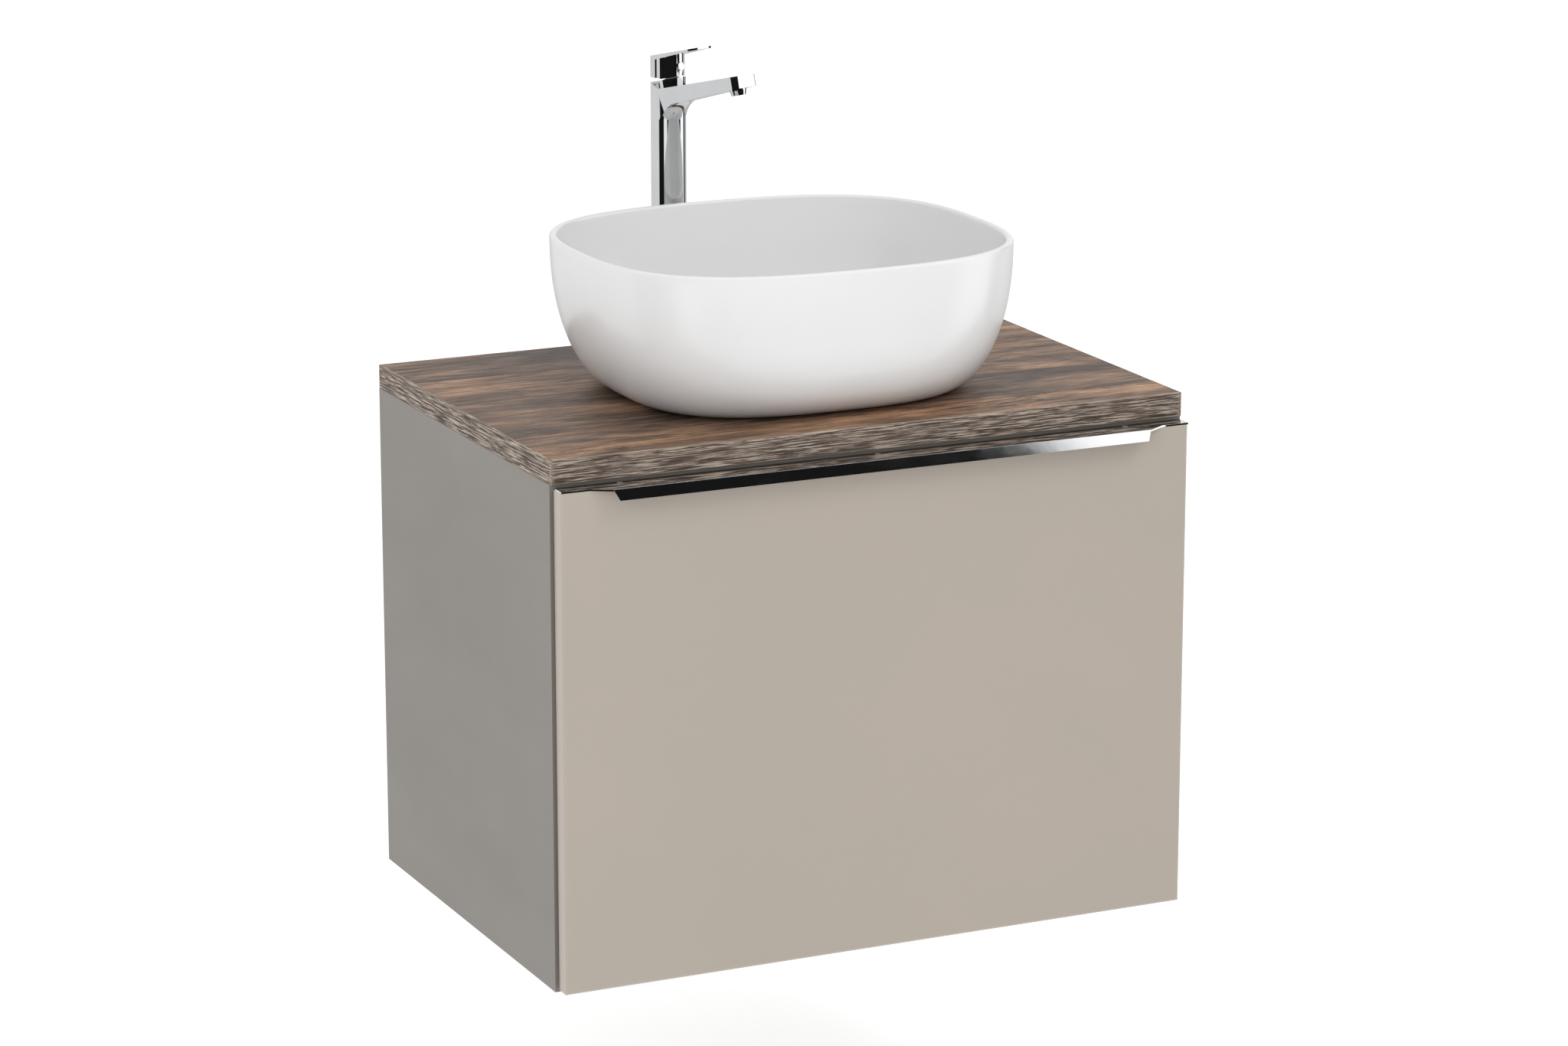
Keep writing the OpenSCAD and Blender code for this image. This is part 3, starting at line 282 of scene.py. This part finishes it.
def oak_material():
    """Laminate printed as rustic oak planks, on a chipboard core."""
    plank = 0.105
    g = Graph("rustic_oak", IOR=1.38)
    along = g.axis("X")
    depth = g.math("MULTIPLY", g.axis("Y"), -1.0)
    row = g.math("DIVIDE", g.math("SUBTRACT", depth, -0.005), plank)
    number = g.math("FLOOR", row)
    across = g.math("FRACT", row)
    pick = g.chance(g.math("ADD", number, 3.0))

    shifted = g.math("ADD", along, g.math("MULTIPLY", pick, 9.0))
    base = g.joined(shifted, g.axis("Y"), g.math("MULTIPLY", pick, 5.0))
    bend = g.noise(g.scaled(5.0, 14.0, 1.0, base), 1.0, 3.0, 0.5)
    curved = g.math("ADD", g.axis("Y"), g.math("MULTIPLY", bend, 0.020))
    flow = g.joined(shifted, curved, g.math("MULTIPLY", pick, 5.0))

    broad = g.noise(g.scaled(4.5, 24.0, 1.0, flow), 1.0, 6.0, 0.66, 0.3)
    streak = g.noise(g.scaled(16.0, 170.0, 1.0, flow), 1.0, 7.0, 0.74, 0.2)
    fibre = g.noise(g.scaled(80.0, 1100.0, 1.0, flow), 1.0, 3.0, 0.65)
    cloud = g.noise(g.scaled(9.0, 30.0, 1.0, base), 1.0, 5.0, 0.7, 0.6)

    share = g.math("DIVIDE", number, 5.0)
    tone = g.ramp(share, (0.0, (0.170, 0.134, 0.112)), (0.15, (0.400, 0.272, 0.182)),
                  (0.35, (0.270, 0.190, 0.136)), (0.55, (0.140, 0.108, 0.088)),
                  (0.75, (0.440, 0.285, 0.175)), steps=True)
    warmth = g.spread(broad, 0.40, 0.60)
    dull = g.mix(0.50, tone, (0.090, 0.068, 0.054))
    bright = g.mix(0.35, tone, (0.520, 0.345, 0.220))
    color = g.mix(warmth, dull, bright)
    color = g.mix(g.spread(cloud, 0.56, 0.68, 0.0, 0.60), color, (0.082, 0.064, 0.053))
    dark_streak = g.spread(streak, 0.52, 0.40)
    color = g.mix(g.math("MULTIPLY", dark_streak, 0.50), color, (0.072, 0.046, 0.032))
    light_streak = g.spread(streak, 0.58, 0.70)
    color = g.mix(g.math("MULTIPLY", light_streak, 0.36), color, (0.560, 0.405, 0.285))
    color = g.mix(g.spread(fibre, 0.38, 0.62, 0.38, 0.0), color, (0.060, 0.042, 0.032))

    crack_noise = g.noise(g.scaled(2.6, 34.0, 1.0, flow), 1.0, 5.0, 0.6, 0.5)
    ridge = g.math("ABSOLUTE", g.math("SUBTRACT", crack_noise, 0.5))
    where = g.spread(g.noise(g.scaled(3.4, 11.0, 1.0, base), 1.0, 2.0), 0.46, 0.58)
    crack = g.math("MULTIPLY", g.spread(ridge, 0.016, 0.002), where)
    color = g.mix(g.math("MULTIPLY", crack, 0.85), color, (0.022, 0.014, 0.010))

    patch = g.math("ADD", broad, cloud)
    color = g.mix(1.0, color, g.spread(patch, 0.86, 1.14, 0.62, 1.30), "MULTIPLY")
    color = g.mix(1.0, color, g.spread(streak, 0.40, 0.60, 0.82, 1.12), "MULTIPLY")
    color = g.mix(1.0, color, (0.96, 0.83, 0.735), "MULTIPLY")

    spot = g.cells(g.scaled(2.1, 6.5, 1.0, base), 1.0)
    ring = g.noise(g.joined(g.math("MULTIPLY", spot, 60.0), pick, 0.0), 1.0, 2.0)
    knot = g.spread(spot, 0.16, 0.03)
    knot = g.math("MULTIPLY", knot, g.spread(ring, 0.35, 0.6, 0.2, 0.75))
    color = g.mix(knot, color, (0.045, 0.026, 0.017))

    joint = g.spread(g.math("ABSOLUTE", g.math("SUBTRACT", across, 0.5)), 0.4945, 0.4985)
    color = g.mix(g.math("MULTIPLY", joint, 0.55), color, (0.040, 0.028, 0.020))

    height = g.axis("Z")
    skin = g.spread(height, TOP_Z - 0.9 * MM, TOP_Z - 0.8 * MM)
    chips = g.cells(g.scaled(1.0, 1.0, 2.0), 420.0, "Color")
    core = g.mix(0.35, (0.45, 0.33, 0.22), chips, "MULTIPLY")
    backing = g.spread(height, TOP_LO.z + 0.8 * MM, TOP_LO.z + 0.7 * MM)
    core = g.mix(backing, core, (0.42, 0.41, 0.39))
    color = g.mix(skin, core, color)

    rough = g.spread(streak, 0.3, 0.7, 0.60, 0.44)
    lift = g.math("SUBTRACT", g.math("MULTIPLY", streak, 0.6), g.math("MULTIPLY", crack, 1.0))
    lift = g.math("ADD", lift, g.math("MULTIPLY", fibre, 0.3))
    lift = g.math("SUBTRACT", lift, joint)
    return g.finish(color, rough, g.bump(lift, 0.16 * MM))


def driftwood_material():
    """Embossed edging: light raised fibres over dark brown grooves, with a painted highlight along the
    rounded arris.
    """
    g = Graph("driftwood_edging", IOR=1.45)
    fibre = g.attribute("fibre")
    # painted highlight: this weight marks the rounded edges of the strip, which are blended towards a
    # light tan below
    edge = g.attribute("arris_highlight")
    base = g.joined(g.attribute("along"), g.attribute("up"), 0.0)
    sway = g.noise(g.scaled(9.0, 30.0, 1.0, base), 1.0, 2.0)
    up = g.math("ADD", g.attribute("up"), g.math("MULTIPLY", sway, 0.0022))
    flow = g.joined(g.attribute("along"), up, 0.0)
    stroke = g.noise(g.scaled(26.0, 720.0, 1.0, flow), 1.0, 3.0, 0.62, 0.10)
    hair = g.noise(g.scaled(95.0, 1900.0, 1.0, flow), 1.0, 2.0, 0.6)
    tint = g.noise(g.scaled(9.0, 90.0, 1.0, flow), 1.0, 3.0)
    level = g.math("ADD", g.spread(stroke, 0.39, 0.61), g.spread(hair, 0.3, 0.7, -0.20, 0.20))
    level = g.math("ADD", g.math("MULTIPLY", level, 0.86), g.math("MULTIPLY", fibre, 0.14))
    color = g.ramp(level, (0.20, (0.048, 0.034, 0.026)), (0.42, (0.130, 0.094, 0.074)),
                   (0.60, (0.255, 0.198, 0.158)), (0.82, (0.540, 0.455, 0.370)))
    color = g.mix(g.spread(tint, 0.35, 0.65, 0.0, 0.40), color, (0.150, 0.110, 0.086))
    # painted highlight: a light tan blended in along the rounded arris, standing in for the light the
    # edge catches
    color = g.mix(g.math("MULTIPLY", edge, 0.75), color, (0.380, 0.300, 0.235))
    rough = g.spread(level, 0.2, 0.8, 0.70, 0.46)
    return g.finish(color, rough, g.bump(level, 0.14 * MM))


def chrome_material():
    g = Graph("polished_chrome", Metallic=1.0)
    smear = g.noise(g.place, 26.0, 5.0, 0.65)
    color = g.ramp(smear, (0.3, (0.610, 0.617, 0.625)), (0.7, (0.660, 0.665, 0.670)))
    rough = g.spread(smear, 0.35, 0.7, 0.020, 0.045)
    return g.finish(color, rough, g.bump(g.noise(g.place, 60.0, 2.0), 0.004 * MM))


def zinc_material():
    g = Graph("zinc_plated_steel", Metallic=1.0)
    spangle = g.cells(g.place, 260.0, "Color")
    color = g.mix(0.10, (0.60, 0.61, 0.64), spangle, "OVERLAY")
    haze = g.noise(g.place, 34.0, 5.0, 0.6)
    color = g.mix(g.spread(haze, 0.45, 0.7, 0.0, 0.35), color, (0.50, 0.49, 0.45))
    rough = g.spread(haze, 0.3, 0.7, 0.26, 0.44)
    return g.finish(color, rough, g.bump(g.noise(g.place, 700.0, 2.0), 0.012 * MM))


def brass_material():
    g = Graph("machined_brass", Metallic=1.0)
    haze = g.noise(g.place, 60.0, 4.0, 0.6)
    color = g.ramp(haze, (0.3, (0.60, 0.42, 0.18)), (0.7, (0.78, 0.60, 0.30)))
    turning = g.noise(g.scaled(40.0, 40.0, 4200.0), 1.0, 2.0)
    return g.finish(color, g.spread(haze, 0.3, 0.7, 0.22, 0.38), g.bump(turning, 0.02 * MM))


def glaze_material():
    """White glazed ceramic: a clear wet coat over a slightly uneven body."""
    g = Graph("white_glaze", IOR=1.5, Coat_Weight=0.5, Coat_Roughness=0.16)
    cloud = g.noise(g.place, 9.0, 3.0)
    color = g.ramp(cloud, (0.3, (0.785, 0.787, 0.790)), (0.7, (0.805, 0.805, 0.805)))
    speck = g.spread(g.noise(g.place, 1500.0, 1.0), 0.74, 0.80, 0.0, 0.25)
    color = g.mix(speck, color, (0.62, 0.60, 0.57))
    rough = g.spread(g.noise(g.place, 30.0, 3.0), 0.3, 0.7, 0.28, 0.36)
    swell = g.bump(g.noise(g.place, 16.0, 2.0), 0.10 * MM)
    return g.finish(color, rough, g.bump(g.noise(g.place, 240.0, 2.0), 0.004 * MM, swell))


def plastic_material(name, tone, gloss, pitch=900.0):
    g = Graph(name, IOR=1.48)
    cloud = g.noise(g.place, 20.0, 3.0)
    color = g.mix(g.spread(cloud, 0.3, 0.7), [c * 0.94 for c in tone], tone)
    rough = g.spread(g.noise(g.place, 80.0, 3.0), 0.3, 0.7, gloss - 0.05, gloss + 0.07)
    return g.finish(color, rough, g.bump(g.noise(g.place, pitch, 2.0), 0.02 * MM))


def floor_material():
    g = Graph("pale_floor", IOR=1.4, Roughness=0.7, Emission_Strength=0.36)
    g.shader.inputs["Emission Color"].default_value = (1.0, 1.0, 1.0, 1.0)
    cloud = g.noise(g.place, 1.5, 3.0)
    return g.finish(g.ramp(cloud, (0.3, (0.93, 0.93, 0.93)), (0.7, (0.95, 0.95, 0.95))))


MATERIALS = {
    "carcass_board": board_material("carcass_melamine", (0.216, 0.196, 0.174), 0.40),
    "drawer_board": board_material("drawer_melamine", (0.62, 0.61, 0.585), 0.42),
    "drawer_lacquer": lacquer_material(),
    "oak_laminate": oak_material(),
    "driftwood_edging": driftwood_material(),
    "polished_chrome": chrome_material(),
    "zinc_steel": zinc_material(),
    "glazed_basin": glaze_material(),
    "white_plastic": plastic_material("white_plastic", (0.80, 0.80, 0.79), 0.34),
    "white_silicone": plastic_material("white_silicone", (0.78, 0.78, 0.77), 0.48, 300.0),
    "black_rubber": plastic_material("black_rubber", (0.022, 0.022, 0.023), 0.62, 500.0),
    "brass_fitting": brass_material(),
    "cartridge_orange": plastic_material("cartridge_orange", (0.62, 0.20, 0.04), 0.36),
}


def dress(piece):
    """Gives a piece its slot's material."""
    piece.data.materials.clear()
    piece.data.materials.append(MATERIALS[piece["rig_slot"]])


# ---- worktop edging ----

GROOVE = 0.20 * MM
ARRIS = 0.9 * MM


def fibre_height(s, t, seed):
    """Height of the embossing, 0 to 1, at s along the strip and t up it, in metres."""
    wave = t + 0.0009 * noise.noise(Vector((s * 9.0, t * 40.0, seed)))
    long_streak = noise.noise(Vector((s * 12.0, wave * 420.0, seed + 5.0)))
    short_streak = noise.noise(Vector((s * 30.0, wave * 800.0, seed + 9.0)))
    return min(1.0, max(0.0, 0.46 + 0.72 * long_streak + 0.42 * short_streak))


def steps_between(length, step, edge):
    """Places from 0 to length, close together near both ends."""
    ends = [0.0, 0.2 * edge, 0.5 * edge, edge]
    count = max(1, round((length - 2 * edge) / step))
    middle = [edge + (length - 2 * edge) * i / count for i in range(1, count)]
    return ends + middle + [length - e for e in reversed(ends)]


def edging(node, start, along, out, seed):
    """An embossed strip in place of a plain one: start is the lower outer corner."""
    lo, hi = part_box(node)
    size = hi - lo
    length = abs(size.dot(along))
    thick = abs(size.dot(out))
    height = size.z
    us = steps_between(length, 1.6 * MM, ARRIS)
    vs = steps_between(height, 0.45 * MM, ARRIS)
    points, fibres, edges, alongs, ups = [], [], [], [], []
    for u in us:
        for v in vs:
            near = min(u, length - u, v, height - v)
            round_in = 0.0
            for d in (min(u, length - u), min(v, height - v)):
                if d < ARRIS:
                    round_in += ARRIS - math.sqrt(ARRIS ** 2 - (ARRIS - d) ** 2)
            share = min(1.0, near / (1.6 * ARRIS))
            h = fibre_height(u, v, seed)
            inward = min(thick * 0.8, round_in + GROOVE * (1.0 - h) * share)
            points.append(start + along * u + Vector((0, 0, v)) - out * inward)
            fibres.append(h)
            # weight of the painted highlight: 1 on the rounded arris, falling to 0 across the face
            edges.append(1.0 - share)
            alongs.append(u + seed)
            ups.append(v)
    nv = len(vs)
    nu = len(us)
    faces = []
    for i in range(nu - 1):
        for j in range(nv - 1):
            a = i * nv + j
            faces.append((a, a + nv, a + nv + 1, a + 1))
    border = [i * nv for i in range(nu)]
    border += [(nu - 1) * nv + j for j in range(1, nv)]
    border += [i * nv + nv - 1 for i in range(nu - 2, -1, -1)]
    border += [j for j in range(nv - 2, 0, -1)]
    back = len(points)
    for index in border:
        flat = points[index] - start
        depth = flat.dot(out)
        points.append(points[index] - out * (thick + depth))
        fibres.append(0.4)
        edges.append(0.0)
        alongs.append(alongs[index] + thick)
        ups.append(ups[index])
    count = len(border)
    for k in range(count):
        nxt = (k + 1) % count
        faces.append((border[k], back + k, back + nxt, border[nxt]))
    faces.append(tuple(back + k for k in range(count)))
    piece = mesh_object(node + "_embossed", points, faces)
    # the arris layer carries the weight of the painted highlight on the edging
    for name, values in (("fibre", fibres), ("arris_highlight", edges), ("along", alongs), ("up", ups)):
        layer = piece.data.attributes.new(name, "FLOAT", "POINT")
        layer.data.foreach_set("value", values)
    bm = bmesh.new()
    bm.from_mesh(piece.data)
    bmesh.ops.recalc_face_normals(bm, faces=bm.faces)
    bm.to_mesh(piece.data)
    bm.free()
    return stand_for(piece, node)


def worktop_edging():
    x_axis = Vector((1, 0, 0))
    y_axis = Vector((0, 1, 0))
    lo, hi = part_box("edge_band_front")
    edging("edge_band_front", Vector((lo.x, lo.y, lo.z)), x_axis, -y_axis, 1.0)
    lo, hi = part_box("edge_band_left")
    edging("edge_band_left", Vector((lo.x, lo.y, lo.z)), y_axis, -x_axis, 20.0)
    lo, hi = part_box("edge_band_right")
    edging("edge_band_right", Vector((hi.x, lo.y, lo.z)), y_axis, x_axis, 40.0)


# ---- basin ----

BASIN_FLARE = 61 * MM
BASIN_SQUARE = 2.8
RIM = 7.5 * MM
BASIN_FLOOR = 14 * MM
BASIN_AROUND = 192
BASIN_STEPS = 40
DRAIN_HOLE = 22.5 * MM
DRAIN_RECESS = 33 * MM
RECESS_DEEP = 1.5 * MM


def flare_at(t):
    """Share of the flare reached at a share t of the height."""
    return (1 - (1 - t) ** 2.2) ** (1 / 1.8)


def basin_ring(a, b, n, z):
    """One ring of the basin: half sizes a and b, squareness n, height z."""
    ring = []
    for i in range(BASIN_AROUND):
        turn = 2 * math.pi * i / BASIN_AROUND
        c, s = math.cos(turn), math.sin(turn)
        r = (abs(c / a) ** n + abs(s / b) ** n) ** (-1 / n)
        ring.append(Vector((r * c, r * s, z)))
    return ring


def basin():
    """The vessel basin, as one smooth shell round its drain hole."""
    lo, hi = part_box("basin")
    half_w, half_d = (hi.x - lo.x) / 2, (hi.y - lo.y) / 2
    height = hi.z - lo.z
    rim_low = height - RIM / 2
    inner_floor = BASIN_FLOOR + 3 * MM
    inset = 20 * MM
    climb = [1 - math.cos(math.pi / 2 * k / BASIN_STEPS) for k in range(BASIN_STEPS + 1)]
    rings = [basin_ring(DRAIN_HOLE, DRAIN_HOLE, 2, 0)]
    for t in climb:
        f = BASIN_FLARE * (1 - flare_at(t))
        rings.append(basin_ring(half_w - f, half_d - f, BASIN_SQUARE, t * rim_low))
    for k in range(1, 12):
        turn = math.pi * k / 12
        f = RIM / 2 * (1 - math.cos(turn))
        rings.append(basin_ring(half_w - f, half_d - f, BASIN_SQUARE, rim_low + RIM / 2 * math.sin(turn)))
    for t in reversed(climb):
        f = RIM + (BASIN_FLARE + inset - RIM) * (1 - flare_at(t))
        z = inner_floor + t * (rim_low - inner_floor)
        rings.append(basin_ring(half_w - f, half_d - f, BASIN_SQUARE, z))
    f = BASIN_FLARE + inset
    for share in (0.9, 0.8, 0.7, 0.6, 0.5, 0.4, 0.33):
        n = 2 + (BASIN_SQUARE - 2) * share
        z = BASIN_FLOOR + (inner_floor - BASIN_FLOOR) * share * share
        rings.append(basin_ring(share * (half_w - f), share * (half_d - f) * (1.3 - 0.3 * share), n, z))
    for r, z in ((DRAIN_RECESS + 1.0 * MM, BASIN_FLOOR), (DRAIN_RECESS, BASIN_FLOOR - 0.4 * MM),
                 (DRAIN_RECESS, BASIN_FLOOR - RECESS_DEEP), (DRAIN_HOLE, BASIN_FLOOR - RECESS_DEEP)):
        rings.append(basin_ring(r, r, 2, z))
    centre = Vector(((lo.x + hi.x) / 2, (lo.y + hi.y) / 2, lo.z))
    points = [centre + p for ring in rings for p in ring]
    faces = []
    count = len(rings)
    for k in range(count):
        nxt = (k + 1) % count
        for i in range(BASIN_AROUND):
            j = (i + 1) % BASIN_AROUND
            here, there = k * BASIN_AROUND, nxt * BASIN_AROUND
            faces.append((here + i, here + j, there + j, there + i))
    piece = mesh_object("basin_glazed", points, faces)
    return stand_for(piece, "basin")


# ---- studio ----

CAMERA_LENS = 114.9
CAMERA_FROM_CORNER = Vector((-1.7885, -4.3576, 1.1485))
CAMERA_PITCH = 75.57
CAMERA_TURN = -25.07


def make_camera():
    """The reference view: zero shift, long lens, from the front left and above."""
    corner = Vector((LEFT_X, FRONT_Y, TOP_Z))
    data = bpy.data.cameras.new("camera")
    data.lens = CAMERA_LENS
    data.sensor_width = 36.0
    data.clip_end = 100.0
    camera = bpy.data.objects.new("camera", data)
    camera.location = corner + CAMERA_FROM_CORNER
    camera.rotation_euler = (math.radians(CAMERA_PITCH), 0.0, math.radians(CAMERA_TURN))
    bpy.context.scene.collection.objects.link(camera)
    bpy.context.scene.camera = camera


FLOOR_RADIUS = 24.0
FLOOR_CORNERS = 96


def make_floor():
    points = [Vector((0, 0, FLOOR_Z))]
    points += [Vector((FLOOR_RADIUS * math.cos(a), FLOOR_RADIUS * math.sin(a), FLOOR_Z))
               for a in (2 * math.pi * k / FLOOR_CORNERS for k in range(FLOOR_CORNERS))]
    faces = [(0, 1 + k, 1 + (k + 1) % FLOOR_CORNERS) for k in range(FLOOR_CORNERS)]
    floor = mesh_object("floor", points, faces)
    floor.data.materials.append(floor_material())
    floor.visible_glossy = False
    floor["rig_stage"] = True


# how bright each part of the studio looks in a reflection
RIGHT_BOX = 1.15
RIGHT_BOX_LOW = 1.10
BACK_WALL = 0.72
LEFT_BACK_LOW = 0.66
RIGHT_BACK_LOW = 0.42
LEFT_STRIP = 0.85
FLOOR_GLOW = 0.62
GLOSS_GAIN = 1.38
DARK_WALL = 0.012


def make_world():
    """White to the camera; a soft studio to diffuse light; dark and bright walls to gloss."""
    world = bpy.data.worlds.new("studio")
    bpy.context.scene.world = world
    world.use_nodes = True
    tree = world.node_tree
    tree.nodes.clear()

    def add(kind, **settings):
        node = tree.nodes.new(kind)
        for key, value in settings.items():
            setattr(node, key, value)
        return node

    def join(value, socket):
        if isinstance(value, bpy.types.NodeSocket):
            tree.links.new(value, socket)
        else:
            socket.default_value = value

    def calc(operation, a, b=0.0):
        node = add("ShaderNodeMath", operation=operation)
        join(a, node.inputs[0])
        join(b, node.inputs[1])
        return node.outputs[0]

    def between(value, lo, hi, to_lo=0.0, to_hi=1.0):
        node = add("ShaderNodeMapRange", interpolation_type="SMOOTHSTEP")
        join(value, node.inputs["Value"])
        for name, number in (("From Min", lo), ("From Max", hi), ("To Min", to_lo), ("To Max", to_hi)):
            node.inputs[name].default_value = number
        return node.outputs["Result"]

    split = add("ShaderNodeSeparateXYZ")
    tree.links.new(add("ShaderNodeTexCoord").outputs["Generated"], split.inputs[0])
    x, y, z = split.outputs
    # azimuth in degrees: 0 straight out into the room, 90 to the right
    azimuth = calc("MULTIPLY", calc("ARCTAN2", x, calc("MULTIPLY", y, -1.0)), 180 / math.pi)
    slanted = calc("ADD", azimuth, calc("MULTIPLY", z, 40.0))
    left_back = between(azimuth, -106.0, -112.0)
    # above the horizon: a white box to the right, a grey wall behind and a white ceiling
    right_end = calc("SUBTRACT", azimuth, calc("MULTIPLY", between(z, 0.30, 0.45), 32.0))
    right_box = calc("MULTIPLY", between(slanted, 56.4, 57.4), between(right_end, 89.0, 86.0))
    back_wall = calc("ADD", left_back, between(azimuth, 118.0, 130.0))
    above = calc("ADD", calc("MULTIPLY", right_box, RIGHT_BOX), calc("MULTIPLY", back_wall, BACK_WALL))
    above = calc("MAXIMUM", above, between(z, 0.74, 0.86))
    # below it: the box again, grey walls on both sides, a thin strip to the left and a pale floor
    right_low = calc("MULTIPLY", between(azimuth, 56.0, 58.0), between(azimuth, 87.0, 84.0))
    below = calc("MULTIPLY", right_low, RIGHT_BOX_LOW)
    below = calc("ADD", below, calc("MULTIPLY", left_back, LEFT_BACK_LOW))
    below = calc("ADD", below, calc("MULTIPLY", between(azimuth, 99.0, 104.0), RIGHT_BACK_LOW))
    strip = calc("MULTIPLY", between(azimuth, -72.0, -68.0), between(azimuth, -44.0, -48.0))
    strip = calc("MULTIPLY", strip, between(z, -0.186, -0.198))
    below = calc("ADD", below, calc("MULTIPLY", strip, LEFT_STRIP))
    below = calc("MAXIMUM", below, calc("MULTIPLY", between(z, -0.46, -0.60), FLOOR_GLOW))
    under = between(z, 0.03, -0.03)
    gloss = calc("MULTIPLY", calc("SUBTRACT", 1.0, under), above)
    gloss = calc("ADD", gloss, calc("MULTIPLY", under, below))
    gloss = calc("ADD", calc("MULTIPLY", gloss, GLOSS_GAIN), DARK_WALL)

    key = Vector((0.36, -0.50, 0.79)).normalized()
    facing = calc("ADD", calc("MULTIPLY", x, key.x), calc("MULTIPLY", y, key.y))
    facing = calc("ADD", facing, calc("MULTIPLY", z, key.z))
    soft = between(facing, -0.7, 0.9, 0.46, 0.83)

    rays = add("ShaderNodeLightPath")

    def choose(flag, a, b):
        node = add("ShaderNodeMix", data_type="FLOAT")
        join(flag, node.inputs[0])
        join(b, node.inputs[2])
        join(a, node.inputs[3])
        return node.outputs[0]

    strength = choose(rays.outputs["Is Glossy Ray"], gloss, soft)
    strength = choose(rays.outputs["Is Camera Ray"], 1.0, strength)
    background = add("ShaderNodeBackground")
    background.inputs["Color"].default_value = (1.0, 1.0, 1.0, 1.0)
    join(strength, background.inputs["Strength"])
    output = add("ShaderNodeOutputWorld")
    tree.links.new(background.outputs[0], output.inputs["Surface"])


def area_light(name, place, target, size, power):
    data = bpy.data.lights.new(name, "AREA")
    data.shape = "RECTANGLE"
    data.size = size[0]
    data.size_y = size[1]
    data.energy = power
    light = bpy.data.objects.new(name, data)
    light.location = place
    light.rotation_euler = (Vector(target) - Vector(place)).to_track_quat("-Z", "Y").to_euler()
    light.visible_camera = False
    light.visible_glossy = False
    bpy.context.scene.collection.objects.link(light)


def make_lights():
    middle = (0.0, -0.25, 0.45)
    area_light("key", (1.2, -2.2, 3.0), middle, (1.2, 1.2), 18.0)
    area_light("fill", (-2.6, -1.8, 1.6), middle, (2.0, 2.0), 19.0)


# ---- all of it ----

FINE_EDGES = {
    "side_panel_left": 0.5, "side_panel_right": 0.5, "bottom_panel": 0.5, "front_rail": 0.5,
    "hanging_rail": 0.5, "lower_back_rail": 0.5, "worktop": 0.3, "drawer_front": 0.5,
    "drawer_side_left": 0.5, "drawer_side_right": 0.5, "drawer_back_boards": 0.5,
    "drawer_bottom": 0.5, "siphon_guard": 0.6, "handle_profile": 0.4, "tap_body": 1.0, "lever": 0.8,
}
SMALL_EDGE = 0.25


def main():
    scene = bpy.context.scene
    scene.view_settings.view_transform = "Standard"
    make_camera()
    make_world()
    make_lights()
    make_floor()
    worktop_edging()
    basin()
    made = {"edge_band_front", "edge_band_left", "edge_band_right", "basin"}
    for node in sorted(NODES):
        if node not in made:
            rounded(node, FINE_EDGES.get(node, SMALL_EDGE) * MM)
    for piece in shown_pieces():
        dress(piece)


main()
